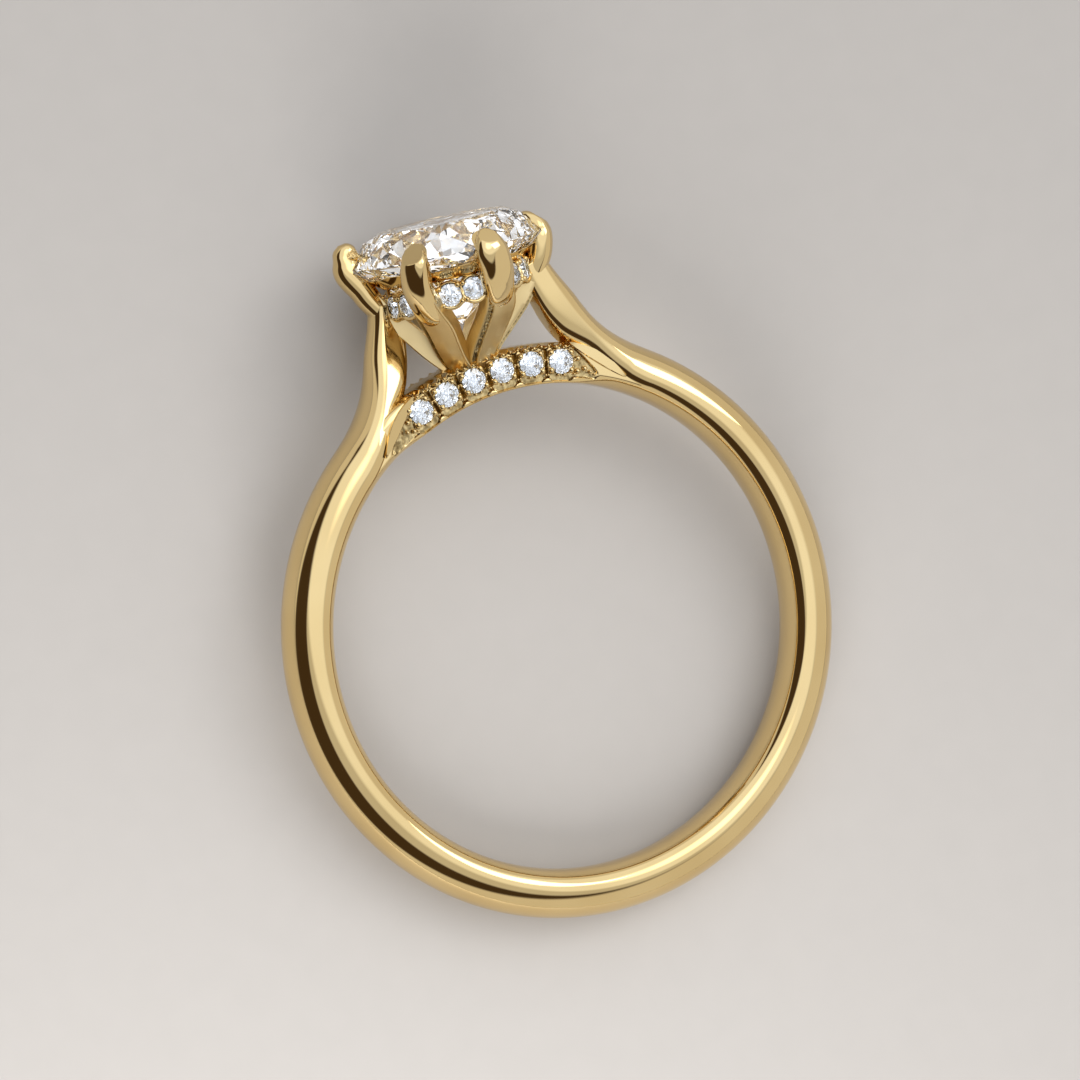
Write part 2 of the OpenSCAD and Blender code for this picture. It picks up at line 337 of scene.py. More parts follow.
# the band, one polished wire from claw to claw. Its shoulders are fuller and squarer inside than
# the solid's, and endOut, endIn and endWide are the shares of thickness and width at a claw
bandLook = {"sides": 72, "fuller": 0.26, "innerPower": 4.5, "endOut": 0.32, "endIn": 0.4, "endWide": 0.25}


# the middle of the right shoulder and its direction, on a cubic Bezier curve from the shank (0)
# to the claw (1)
def shoulderLine(u):
    x, y = atAngle(shankMiddle, shoulder["angle"])
    start = np.array([x, y])
    end = np.array([shoulder["endRadius"], girdleY - shoulder["endDrop"]])
    lean = np.radians(shoulder["lean"])
    b = start + shoulder["leave"] * np.array([-y, x]) / shankMiddle
    c = end - shoulder["arrive"] * np.array([-np.sin(lean), np.cos(lean)])
    u = u[:, None]
    line = start * (1 - u) ** 3 + 3 * b * u * (1 - u) ** 2 + 3 * c * u**2 * (1 - u) + end * u**3
    run = 3 * (b - start) * (1 - u) ** 2 + 6 * (c - b) * u * (1 - u) + 3 * (end - c) * u**2
    return line, unit(run)


# half of the band, from the claw down to the bottom of the shank: the shoulder's curve, then an
# arc round the finger hole, each point with its own section. In ease, 0 is where the shoulder
# leaves the shank and 1 is at the claw
def halfBand(look):
    u = np.linspace(1, 0, shoulder["rings"])
    line, run = shoulderLine(u)
    outwards = np.stack([run[:, 1], -run[:, 0]], axis=-1)
    whole = mix(shank["thick"], shoulder["thick"], ease(u, 0, 0.6))
    thick = whole * mix(0.5, look["endOut"], ease(u, 0.7, 1))
    innerThick = whole * mix(0.5, look["endIn"], ease(u, 0.7, 1)) + look["fuller"] * ease(u, 0.35, 0.65)
    wide = mix(shank["width"], shoulder["width"], ease(u, 0, 0.5))
    wide = wide * mix(0.5, look["endWide"], ease(u, 0.2, 1))
    drift = np.sin(np.radians(head["turn"])) * shoulder["endRadius"] * ease(u, 0.15, 1)
    power = mix(shank["innerPower"], look["innerPower"], ease(u, 0.4, 0.8))
    shift = (0.5 - shank["waist"]) * shank["thick"] * (1 - ease(u, 0, 0.5))
    arc = np.stack(atAngle(1, np.linspace(shoulder["angle"], -90, shank["rings"])[1:]), axis=-1)
    line = np.vstack([line, shankMiddle * arc])
    outwards = np.vstack([outwards, arc])
    # along the arc each measure is the plain shank's
    thick, innerThick, wide, drift, power, shift = (
        np.append(v, np.full(len(arc), v[-1])) for v in (thick, innerThick, wide, drift, power, shift))
    reach, across = bandSection(thick + shift, innerThick - shift, wide, power, look["sides"])
    reach = reach - shift[:, None]
    flat = line[:, None, :] + outwards[:, None, :] * reach[..., None]
    return np.concatenate([flat, (across + drift[:, None])[..., None]], axis=-1)


# the other half is the mirror image of the first, with its drift the other way
def buildBand():
    half = halfBand(bandLook)
    other = half[::-1][1:] * np.array([-1.0, 1.0, 1.0])
    other[..., 2] -= 2 * half[::-1][1:, :, 2].mean(axis=1)[:, None]
    placePiece("polished_band", tube(np.concatenate([half, other])), [polishedGold])


buildBand()
print("band built")


# the bridge under the head, with a row of cups in each face for its stones. Pairs are where a
# change starts and ends, but those of leafTo are for the left and the right
bridgeLook = {
    "reach": 41, "rings": 420, "facePoints": 48, "topPoints": 17, "soft": 0.1, "play": 0.005,
    "cupLip": 0.05, "cupSlope": 0.85, "gap": 0.03, "fade": (18, 31), "sunk": 0.11, "under": 0.02,
    "rim": 0.17, "rimThin": 0.25, "cut": 0.2, "cutEdge": (0.02, 0.11), "ridges": 2.3,
    "ridgeDepth": 0.13, "ridgeDown": 0.26, "ridgesTo": (18, 22), "panelDown": 0.1, "panelEnd": 0.36,
    "leafFrom": 18.5, "leafTo": (30.5, 25.5), "lineStep": 2.4, "lineSlant": 4, "lineDepth": 0.04,
    "linesFrom": (23.5, 24.5),
}
bridgeInner = shank["hole"] + bridgeLook["play"]


# half width of the shank's section at a distance from the hole's centre
def bandHalfWidth(radius):
    wide = shank["hole"] + shank["waist"] * shank["thick"]
    inner = np.clip((wide - radius) / (wide - shank["hole"]), 0, 1)
    outer = np.clip((radius - wide) / (shankOuter - wide), 0, 1)
    inside = (1 - inner ** shank["innerPower"]) ** (1 / shank["innerPower"])
    outside = np.sqrt(1 - outer**2)
    return shank["width"] / 2 * np.where(radius < wide, inside, outside)


# the angles of the bridge's stones: even steps to both sides of the top, shifted a little
def bridgeStoneAngles():
    steps = (bridge["stones"] - 1) / 2 - np.arange(bridge["stones"])
    return 90 + bridge["shift"] + bridge["pitch"] * steps


# depth of a cup at a distance from its middle: a lip, then a cone
def cupDepth(distance, diameter, look):
    edge = diameter / 2 + look["gap"]
    inside = np.clip(edge - distance, 0, edge)
    return np.where(inside > 0, look["cupLip"] * ease(inside, 0, 0.02) + look["cupSlope"] * inside, 0)


# where the stone-set panel ends, in degrees from the top
def panelLength(angle):
    return np.where(angle > 90, *bridgeLook["leafTo"])


# the panel narrows to a point in a straight line: above this radius is the shoulder's bevel
def panelTop(angle):
    look = bridgeLook
    share = (np.abs(angle - 90) - look["leafFrom"]) / (panelLength(angle) - look["leafFrom"])
    return mix(bridgeOuter - look["panelDown"], shank["hole"] + look["panelEnd"], np.clip(share, 0, 1))


# 1 inside the panel and 0 outside, with soft edges. The rim below it thins under each stone
def panelShare(angle, radius):
    look = bridgeLook
    apart = np.abs(angle - bridgeStoneAngles()[None, :]).min(axis=1, keepdims=True)
    low = bridgeInner + look["rim"] * mix(look["rimThin"], 1, ease(apart, 1.8, 3.2))
    top, end = panelTop(angle), panelLength(angle)
    inPanel = ease(radius, low, low + 0.05) * (1 - ease(radius, top - 0.08, top))
    return inPanel * (1 - ease(np.abs(angle - 90), end - 2, end))


# how deep the bridge's faces are sunk: the panel and the ridges, a cut between each two stones,
# slanting lines in the left point, and a cup for each stone where that is deeper
def faceDepth(angle, radius, ridge, inPanel):
    look = bridgeLook
    ridgeShare = ease(radius, bridgeOuter - look["ridgeDown"], bridgeOuter - look["soft"])
    depth = look["sunk"] * inPanel + look["ridgeDepth"] * ridge * ridgeShare
    for a in bridgeStoneAngles()[:-1] - bridge["pitch"] / 2:
        away = np.abs(angle - a) * np.pi / 180 * radius
        depth = depth + look["cut"] * inPanel * (1 - ease(away, *look["cutEdge"]))
    slanted = angle + look["lineSlant"] * (radius - bridgeInner)
    lines = np.abs(np.sin(np.pi * slanted / look["lineStep"]))
    depth = depth + look["lineDepth"] * lines * inPanel * ease(angle - 90, *look["linesFrom"])
    x, y = atAngle(radius, angle)
    for a in bridgeStoneAngles():
        stoneX, stoneY = atAngle(bridgeRow, a)
        cup = cupDepth(np.hypot(x - stoneX, y - stoneY), bridge["stone"], look)
        depth = np.maximum(depth, cup)
    return depth


# the bridge's outline as radii and distances across: a face, the top, the other face and the
# inside, joined by rounded corners
def bridgeOutline(look):
    half, soft = bridge["width"] / 2, look["soft"]
    face = np.linspace(bridgeInner + soft, bridgeOuter - soft, look["facePoints"])
    corner = np.radians(np.linspace(0, 90, 5)[1:-1])
    rise, fall = soft * np.sin(corner), soft * np.cos(corner)
    flat = np.linspace(half - soft, -half + soft, look["topPoints"])
    side = np.full(len(face), half)
    radius = np.concatenate([
        face, bridgeOuter - soft + rise, np.full(len(flat), bridgeOuter), bridgeOuter - soft + fall,
        face[::-1], bridgeInner + soft - rise, np.full(len(flat), bridgeInner), bridgeInner + soft - fall])
    across = np.concatenate([
        side, half - soft + fall, flat, -half + soft - rise,
        -side, -half + soft - fall, -flat, half - soft + rise])
    return radius, across


# the bridge: its outline carried round the finger hole, with its faces sunk by the depths above
def buildBridge():
    look = bridgeLook
    radius, across = bridgeOutline(look)
    angle = np.linspace(90 - look["reach"], 90 + look["reach"], look["rings"])[:, None]
    radius, across = np.broadcast_to(radius, (len(angle), len(radius))), across[None, :]
    onFace = np.abs(across) >= bridge["width"] / 2 - 1e-6
    fromTop = np.abs(angle - 90)
    # ridges cut across the bridge's upper corners, stopping short of its middle
    onTop = (radius > bridgeOuter - look["soft"]) & ~onFace
    ridge = np.abs(np.sin(np.pi * (angle - 90) / look["ridges"])) * (1 - ease(fromTop, *look["ridgesTo"]))
    radius = radius - look["ridgeDepth"] * ridge * onTop * ease(np.abs(across), 0.3, 0.6)
    inPanel = panelShare(angle, radius)
    across = np.sign(across) * (np.abs(across) - faceDepth(angle, radius, ridge, inPanel) * onFace)
    # towards its ends the bridge sinks into the band's own section
    under = look["under"]
    sunk = np.minimum(np.abs(across), np.maximum(bandHalfWidth(radius) - under, under))
    across = np.sign(across) * mix(np.abs(across), sunk, ease(fromTop, *look["fade"]))
    shape = tube(np.stack([*atAngle(radius, angle), across], axis=-1))
    # the panel is bright-cut and takes the engraved gold with its painted shade, and the rim, the top and
    # the inside are polished
    cutFace = (onFace & (inPanel > 0.5))[:-1].ravel()
    shadedCutFaces = np.append(cutFace, np.zeros(len(shape[1]) - len(cutFace)))
    placePiece("stone_set_bridge", shape, [polishedGold, engravedShadeGold], goldParts, 35, shadedCutFaces)


# the leaves between the shoulders and the panel: start and end are degrees from the top and
# distances over the finger hole, and rises the heights of a leaf's edges, on the left and right
leafLook = {
    "rings": 40, "half": 0.19, "power": 0.75, "least": 0.004, "bow": 0.10, "edge": 0.03, "foot": -0.25,
    "start": (17.8, bridge["thick"] - 0.02), "end": (31.5, 0.46),
    "rises": {-1: (0.05, 0.11), 1: (0.09, 0.10)},
}


# a bevel in the shape of a leaf: rings along its line, as wide as a power of a sine
def leafBevel(start, end, face, low, high):
    look = leafLook
    s = np.linspace(0.0, 1.0, look["rings"])[:, None]
    swell = np.sin(np.pi * s)
    along = np.append(unit(end - start), 0.0)
    side = np.array([-along[1], along[0], 0.0])
    line = np.concatenate([start + (end - start) * s, 0 * s], axis=1)
    wide = look["half"] * swell ** look["power"] + look["least"]
    edge, foot = look["edge"], look["foot"]
    shape = np.array([(-1, foot), (-1, low - edge), (-0.88, low), (0.9, high), (1, high - edge), (1, foot)])
    rings = line[:, None, :] + side * (wide * shape[:, 0] + look["bow"] * swell)[..., None]
    rings[..., 2] = face * (bridge["width"] / 2 + shape[:, 1])
    return rings


# a leaf on each face of each end of the bridge
def buildLeaves():
    leaves = []
    for hand in (-1, 1):
        for face in (-1, 1):
            ends = [np.array(atAngle(shank["hole"] + over, 90 - hand * angle))
                    for angle, over in (leafLook["start"], leafLook["end"])]
            leaves.append(tube(leafBevel(*ends[::hand], face, *leafLook["rises"][hand])))
    placePiece("leaf_bevels", joined(leaves), [polishedGold], sharp=30)


# a round grain of metal: circles of points, smaller towards its two poles
def grain(sides=8, rings=5):
    up = np.radians(np.linspace(-80, 80, rings))[:, None]
    return aroundAxis(np.cos(up), roundTurn(sides), np.sin(up))


# one mesh of grains, each grown to its radius and moved to its centre
def grainsAt(places):
    return joined([tube(centre + radius * grain()) for centre, radius in places])


# corners: distance up and along from a stone's middle, and radius. points: degrees from the top,
# number and radius. beads: a ring of fine ones round each stone
grainLook = {
    "corners": [(0.30, 0.36, 0.115), (-0.30, 0.36, 0.115), (0.50, 0.17, 0.07),
                (0.05, 0.50, 0.05), (0.52, 0.44, 0.06), (-0.45, 0.47, 0.05)],
    "points": [(-19.9, 2, 0.105), (-21.6, 1, 0.10), (-23.0, 1, 0.075), (-24.0, 1, 0.05),
               (22.4, 2, 0.09), (23.8, 1, 0.08)],
    "pointLow": 0.2, "pointHigh": 0.06, "sunk": 0.005,
    "beads": 14, "beadTurn": 13, "beadRing": 0.475, "bead": 0.05, "beadSunk": 0.02,
}


# the grains stand on the faces in straight lines up and along from the stones' middles
def buildBridgeGrains():
    look, places = grainLook, []
    for face in (-1, 1):
        level = face * (bridge["width"] / 2 - look["sunk"])
        for a in bridgeStoneAngles():
            up = np.array([*atAngle(1, a), 0])
            along = np.array([-up[1], up[0], 0])
            middle = up * bridgeRow + np.array([0, 0, level])
            for side in (-1, 1):
                for lift, reach, size in look["corners"]:
                    places.append((middle + up * lift + along * side * reach, size))
            for turn in roundTurn(look["beads"]) + np.radians(look["beadTurn"]):
                spot = middle + look["beadRing"] * (up * np.cos(turn) + along * np.sin(turn))
                places.append((spot - np.array([0, 0, face * look["beadSunk"]]), look["bead"]))
        for fromTop, rows, size in look["points"]:
            low, high = shank["hole"] + look["pointLow"], panelTop(90 + fromTop) - look["pointHigh"]
            for row in range(rows):
                x, y = atAngle(mix(low, high, (row + 0.5) / rows), 90 + fromTop)
                places.append((np.array([x, y, level]), size))
    placePiece("bridge_grains", grainsAt(places), [polishedGold])


buildBridge()
buildLeaves()
buildBridgeGrains()
print("bridge built")


# rows of a claw in the head's frame, from its rounded lower end to its tip on the crown:
# distance from the head's axis, height over the girdle, half width, half depth
clawRows = [
    (2.20, -2.12, 0.05, 0.04),
    (2.25, -2.06, 0.22, 0.15),
    (2.36, -1.92, 0.36, 0.26),
    (2.54, -1.68, 0.45, 0.35),
    (2.79, -1.28, 0.51, 0.42),
    (3.04, -0.80, 0.53, 0.45),
    (3.18, -0.25, 0.53, 0.45),
    (3.17, 0.06, 0.46, 0.41),
    (3.11, 0.28, 0.36, 0.32),
    (3.00, 0.43, 0.24, 0.21),
    (2.88, 0.52, 0.12, 0.10),
    (2.83, 0.55, 0.03, 0.02),
]
# rows of a leg from the bridge to the inside of its claw, with the same columns
legRows = [
    (0.50, -3.95, 0.44, 0.30),
    (0.98, -3.40, 0.50, 0.32),
    (1.58, -2.75, 0.55, 0.33),
    (2.10, -2.15, 0.57, 0.33),
    (2.52, -1.60, 0.52, 0.32),
    (2.85, -1.05, 0.42, 0.32),
]
# a leg's section, as shares of its half width and half depth: the flat front with a faint
# ridge, a fine groove and rim on one side, the back, and the engraved strip on the other side
legSection = [
    (-0.62, 1.0), (0.05, 1.05), (0.86, 1.0), (0.89, 0.90), (0.93, 0.90), (0.95, 0.97), (1, 0.9), (1, -0.8),
    (0.9, -1), (-0.9, -1), (-1, -0.8), (-1, 0.55), (-0.96, 0.66), (-0.9, 0.55), (-0.66, 0.78),
]
# bulge, rise, fuller and domed shape the left claw only
clawLook = {
    "rings": 90, "sides": 48, "power": 2.4, "bulge": 0.24, "rise": 0.2, "fuller": 0.05, "domed": 0.12,
    "cutTilt": 42, "cutRadius": 3.17, "climb": 0.7, "untwist": 0.75, "tipTwist": 0.65, "drop": 0.08,
    "footShift": -0.36,
}
# each claw's own shape, from the right one round by the front: share of the width, where its
# tip is cut flat, and how much further its tip reaches over the stone
clawShapes = [
    (1.05, 0.41, 0.14), (1.15, 0.36, 0.0), (1.0, 0.27, 0.0),
    (1.05, 0.75, 0.05), (1.0, 0.38, 0.0), (1.0, 0.38, 0.0),
]
legLook = {"rings": 130, "step": 0.15, "engraving": 0.05, "slant": 0.3, "strip": (-0.91, -0.64)}


# how far the front and back claws stand from the even spacing of their legs, in degrees
def clawSteps():
    return head["pinch"] * np.tile([0, -1, 1], head["claws"] // 3)


# the angles of the claws: even steps round the head, less those distances
def clawAngles():
    return clawSteps() - (head["turn"] + 360 * np.arange(head["claws"]) / head["claws"])


# the line of a claw or leg: each ring's centre and its two axes, out and around. It leans with
# the stone more and more towards the girdle, and twists a little on the way up
def clawLine(rows, turn, step):
    look, h = clawLook, rows[:, 1]
    twist = look["tipTwist"] * ease(h, -0.9, 0.2) - look["untwist"] * (1 - ease(h, -2.2, -0.2))
    t = np.radians(turn + twist * step)
    lean = np.radians(head["stoneLean"]) * ease(h, -2.3, -0.2)
    x, y = rows[:, 0] * np.cos(t), rows[:, 0] * np.sin(t)
    foot = look["footShift"] * (1 - ease(h, -3.7, -1.9))
    centre = np.stack([x + foot + h * np.sin(lean), y, girdleY + h - x * np.sin(lean)], axis=-1)
    run = unit(np.gradient(centre, axis=0))
    around = np.stack([-np.sin(t), np.cos(t), 0 * t], axis=-1)
    return centre, unit(np.cross(around, run)), around


# moves points out of the centre stone's space: sideways below the girdle, up over the crown
def clearOfStone(p, gap=0.02):
    q = leaned(p, -1)
    h = q[..., 2] - girdleY
    rho = np.hypot(q[..., 0], q[..., 1])
    edge = head["girdle"] / 2
    below = stoneRadius * np.clip(1 + (h + edge) / head["pavilion"], 0, 1) + gap
    slope = head["crown"] / (stoneRadius - head["table"] / 2)
    above = edge + gap * 1.5 + np.clip(slope * (stoneRadius - rho), 0, head["crown"])
    onCrown = (rho < stoneRadius + gap) & (h > edge * 0.5) & (h < above)
    atSide = (h <= edge * 0.5) & (rho < below)
    grow = np.where(atSide, below / np.maximum(rho, 1e-6), 1)
    moved = np.stack([q[..., 0] * grow, q[..., 1] * grow, girdleY + np.where(onCrown, above, h)], axis=-1)
    return leaned(moved)


# a claw: squared ellipses along its line, with its tip cut to a flat that slopes in to the stone.
# left is 1 for the left claw, which has its own bulge and dome, and 0 for the others. In ease,
# numbers are heights over the girdle
def clawRings(turn, step, left, shape):
    look = clawLook
    share, cutAt, further = shape
    rise = look["rise"] * left
    rows = throughRows(clawRows, look["rings"])
    h = rows[:, 1].copy()
    swell = ease(h, -0.8, -0.1) * (1 - 0.7 * ease(h, 0.3, 0.56))
    dome = ease(h, 0.1, 0.3) * (1 - ease(h, 0.4, 0.55))
    tip = ease(h, 0.1, 0.55)
    rows[:, 0] += look["bulge"] * left * swell - further * tip
    rows[:, 1] += rise * ease(h, -0.8, 0.2) * (1 - 2 * ease(h, 0.25, 0.56)) + look["climb"] * further * tip
    rows[:, 1] -= look["drop"] * (1 - ease(h, -2.1, -1.2))
    rows[:, 2] *= share
    rows[:, 3] += left * (look["fuller"] * swell + look["domed"] * dome)
    centre, out, around = clawLine(rows, turn, step)
    a = roundTurn(look["sides"])
    c, s = (np.sign(v) * np.abs(v) ** (2 / look["power"]) for v in (np.cos(a), np.sin(a)))
    depth, width = rows[:, 3][:, None, None], rows[:, 2][:, None, None]
    p = centre[:, None, :] + out[:, None, :] * np.maximum(depth, 0.01) * c[None, :, None]
    p = p + around[:, None, :] * np.maximum(width, 0.01) * s[None, :, None]
    t, tilt = np.radians(turn + look["tipTwist"] * step), np.radians(look["cutTilt"])
    normal = aroundAxis(np.sin(tilt), t, np.cos(tilt))
    onCut = aroundAxis(look["cutRadius"], t, girdleY) + normal * (cutAt + rise)
    q = leaned(p, -1)
    over = np.clip((q - onCut) @ normal, 0, None)[..., None]
    return clearOfStone(leaned(q - over * normal))


# a leg: its section carried along its line, with fine cuts across the engraved strip, each as
# deep as a sine of the distance along the leg
def legRings(turn, step):
    look = legLook
    rows = throughRows(legRows, look["rings"])
    centre, out, around = clawLine(rows, turn, step)
    corners = np.array(legSection, float)
    # four points to each side of the section
    quarters = [mix(corners, np.roll(corners, -1, axis=0), u) for u in (0, 0.25, 0.5, 0.75)]
    shares = np.stack(quarters, axis=1).reshape(-1, 2)
    length = np.append(0, np.cumsum(np.linalg.norm(np.diff(centre, axis=0), axis=1)))[:, None]
    low, high = look["strip"]
    inStrip = (shares[:, 0] > low) & (shares[:, 0] < high) & (shares[:, 1] > 0.5)
    wave = np.abs(np.sin(np.pi * (length + look["slant"] * np.abs(shares[:, 0])) / look["step"]))
    reach = rows[:, 3][:, None] * shares[:, 1] - look["engraving"] * wave * inStrip
    wide = rows[:, 2][:, None] * shares[:, 0]
    rings = centre[:, None, :] + out[:, None, :] * reach[..., None] + around[:, None, :] * wide[..., None]
    return rings, inStrip


# six claws and six legs, each leg with its engraved strip
def buildClaws():
    claws, legs, shadedCutFaces = [], [], []
    for k, (turn, step) in enumerate(zip(clawAngles(), clawSteps())):
        claws.append(tube(fromHead(clawRings(turn, step, k == 3, clawShapes[k]))))
        rings, inStrip = legRings(turn, step)
        legs.append(tube(fromHead(rings)))
        # the engraved strips take the engraved gold, whose dark tone is painted shade
        strips = np.tile(inStrip, len(rings) - 1)
        shadedCutFaces.append(np.append(strips, np.zeros(len(legs[-1][1]) - len(strips))))
    placePiece("claws", joined(claws), [polishedGold], sharp=28)
    placePiece("claw_legs", joined(legs), [satinGold, engravedShadeGold], goldParts, 32, np.concatenate(shadedCutFaces))


buildClaws()
print("claws built")


# the rail of the hidden halo: a ring round the head with a cup for each stone
railLook = {
    "thick": 0.44, "half": 0.49, "dip": 0.13, "rings": 720, "facePoints": 34, "insidePoints": 6,
    "soft": 0.08, "cupLip": 0.05, "cupSlope": 0.85, "gap": 0.03,
    "cutBack": 0.07, "cutHalf": 0.3, "left": 0.04,
}


# the angles of the halo's stones: two to each gap, at even distances from its middle
def haloAngles():
    angles = clawAngles()
    middle = (angles + np.append(angles[1:], angles[0] - 360)) / 2
    return np.stack([middle + halo["halfPitch"], middle - halo["halfPitch"]], axis=-1).ravel()


# the seat band over the rail: its section goes up the outside and down the inside, and gaps are
# its distances from the stone
seatLook = {"points": 180, "top": -0.42, "wave": 0.05, "foot": -0.86, "soft": 0.02,
            "gaps": (0.16, 0.13, 0.11, 0.05, 0.03, 0.03)}


# a cone that hugs the stone's underside, with a top edge that waves six times round
def buildSeatBand():
    look = seatLook
    turn = roundTurn(look["points"])[:, None]
    top = look["top"] - look["wave"] * np.cos(head["claws"] * turn)
    foot, below = np.full_like(top, look["foot"]), top - look["soft"]
    height = np.concatenate([foot, below, top, top, below, foot], axis=1)
    cone = stoneRadius * (1 + (height + head["girdle"] / 2) / head["pavilion"])
    radius = cone + np.array(look["gaps"])
    p = leaned(aroundAxis(radius, turn, girdleY + height))
    placePiece("seat_band", closedRing(fromHead(p)), [polishedGold], sharp=30)


# the rail is lower between its stones, and its face is sunk by a cup for each of them
def buildRail():
    look = railLook
    turn = np.linspace(0, 360, look["rings"], endpoint=False)[:, None]
    stones = haloAngles()
    apart = np.abs((turn - stones[None, :] + 180) % 360 - 180).min(axis=1, keepdims=True)
    half = look["half"] - look["dip"] * ease(apart, 3.0, 9.2)
    face = np.linspace(-1, 1, look["facePoints"])[None, :]
    inside = np.linspace(1, -1, look["insidePoints"])[None, :]
    height = half * np.concatenate([face, inside], axis=1)
    softened = halo["radius"] - look["soft"] * ease(np.abs(face), 0.84, 1.0)
    radius = np.concatenate([softened, np.full_like(inside, halo["radius"] - look["thick"])], axis=1)
    angle = np.radians(np.broadcast_to(turn, height.shape))
    depth = np.zeros_like(height)
    for a in np.radians(stones):
        across = halo["radius"] * np.sin(angle - a)
        distance = np.where(np.cos(angle - a) > 0, np.hypot(across, height), np.inf)
        depth = np.maximum(depth, cupDepth(distance, halo["stone"], look))
    # between the stones the face is cut back, so that the grains stand clear of it
    cutBack = look["cutBack"] * ease(apart, 7.5, 9.0) * (np.abs(height) < look["cutHalf"])
    depth = np.maximum(depth, cutBack)
    depth[:, face.shape[1]:] = 0
    radius = radius - np.minimum(depth, look["thick"] - look["left"])
    p = aroundAxis(radius, angle, haloY + height)
    # the rail's face takes the engraved gold, whose dark tone is painted shade seen between the stones
    cut = np.tile(np.append(np.abs(face[0]) < 0.9, np.zeros(len(inside[0]))), len(p))
    placePiece("halo_rail", closedRing(fromHead(p)), [polishedGold, engravedShadeGold], goldParts, 35, cut)


# lips and grains of the rail. thin is the share of its thickness that a lip has on top, and
# corner is how far up and along from its stone a grain stands
lipLook = {
    "points": 40, "sides": 10, "radius": 0.445, "thick": 0.075, "thin": 0.3, "tall": 1.3, "sunk": 0.01,
    "corner": (0.29, 0.33), "grain": 0.11, "grainOut": 0.02,
}


# a lip round each stone, a bar bent round it and thickest underneath, and four grains at its corners
def buildHaloLips():
    look = lipLook
    around, bar = roundTurn(look["points"])[:, None], roundTurn(look["sides"])[None, :]
    thick = look["thick"] * mix(look["thin"], 1, ease(-np.sin(around), -0.4, 0.7))
    reach = look["radius"] + thick * np.cos(bar)
    out = thick * np.sin(bar) * look["tall"] - look["sunk"]
    lip = aroundAxis(reach, around, out)
    up, along = look["corner"]
    parts, places = [], []
    for origin, axes in haloPlaces():
        parts.append(closedRing(lip @ axes + origin))
        for side in (-1, 1):
            for lift in (up, -up):
                spot = np.array([side * along, lift, look["grainOut"]])
                places.append((spot @ axes + origin, look["grain"]))
    placePiece("halo_lips", joined(parts), [polishedGold])
    placePiece("halo_grains", grainsAt(places), [polishedGold])


# the halo's stones: the origin of each in the ring's frame, and three axes, the last outwards
def haloPlaces():
    places = []
    for a in np.radians(haloAngles()):
        out = aroundAxis(1, a, 0)
        along = np.array([-out[1], out[0], 0])
        origin = out * halo["radius"] + np.array([0, 0, haloY])
        places.append((fromHead(origin), fromHead(np.array([along, np.cross(out, along), out]))))
    return places


buildSeatBand()
buildRail()
buildHaloLips()
print("halo rail built")


# origins and axes of the bridge's stones, face being 1 in front and -1 behind
def bridgePlaces(face):
    places = []
    out = np.array([0.0, 0.0, face])
    for a in bridgeStoneAngles():
        up = np.array([*atAngle(1, a), 0.0])
        origin = up * bridgeRow + out * bridge["width"] / 2
        places.append((origin, np.array([np.cross(up, out), up, out])))
    return places


# cuts of the stones, as shares of the diameter. star and lower are where those facets end, and
# rings and stir shape the crushed pavilion
smallCut = {"table": 0.58, "crown": 0.145, "girdle": 0.03, "pavilion": 0.40, "star": 0.45, "lower": 0.24}
centreCut = {"table": head["table"] / head["stone"], "girdle": 0.005,
             "crown": (head["crown"] + head["girdle"] / 2) / head["stone"] - 0.0025,
             "pavilion": (head["pavilion"] + head["girdle"] / 2) / head["stone"] - 0.0025,
             "star": 0.45, "lower": 0.24, "rings": (0.88, 0.74, 0.60, 0.47, 0.34, 0.20), "stir": 0.03}
girdleEnd = 48  # corners of a brilliant down to the lower edge of its girdle


# a circle of corners at one height, the first of them at the phase
def ringPoints(radius, count, phase, height):
    return aroundAxis(radius, np.radians(phase + np.arange(count) * 360 / count), height)


# a round brilliant: table, stars, kites, halves above and below the girdle, and mains. Its
# corners are rings of 8, 8, 16, 16 and 8, and the tip
def brilliant(diameter, cut):
    r = diameter / 2
    tableR, crown, half = r * cut["table"], diameter * cut["crown"], diameter * cut["girdle"] / 2
    pavilion = diameter * cut["pavilion"]
    starR = mix(tableR, r, cut["star"])
    starZ = crown * (r - starR * np.cos(np.radians(22.5))) / (r - tableR)
    lowerR = cut["lower"] * r
    lowerZ = -pavilion * (1 - lowerR * np.cos(np.radians(22.5)) / r)
    points = np.vstack([
        ringPoints(tableR, 8, 0, half + crown), ringPoints(starR, 8, 22.5, half + starZ),
        ringPoints(r, 16, 0, half), ringPoints(r, 16, 0, -half),
        ringPoints(lowerR, 8, 22.5, -half + lowerZ), [[0, 0, -half - pavilion]]])
    faces = [list(range(8))]
    for i in range(8):
        j, h = (i + 1) % 8, (i + 7) % 8
        g, m, n = 16 + 2 * i, 17 + 2 * i, 16 + (2 * i + 2) % 16
        faces += [[i, 8 + i, j], [i, 8 + h, g, 8 + i], [8 + i, g, m], [8 + i, m, n]]
        faces += [[g, g + 16, m + 16, m], [m, m + 16, n + 16, n]]
        faces += [[48 + i, m + 16, g + 16], [48 + i, n + 16, m + 16], [56, 48 + i, g + 16, 48 + h]]
    return points, faces


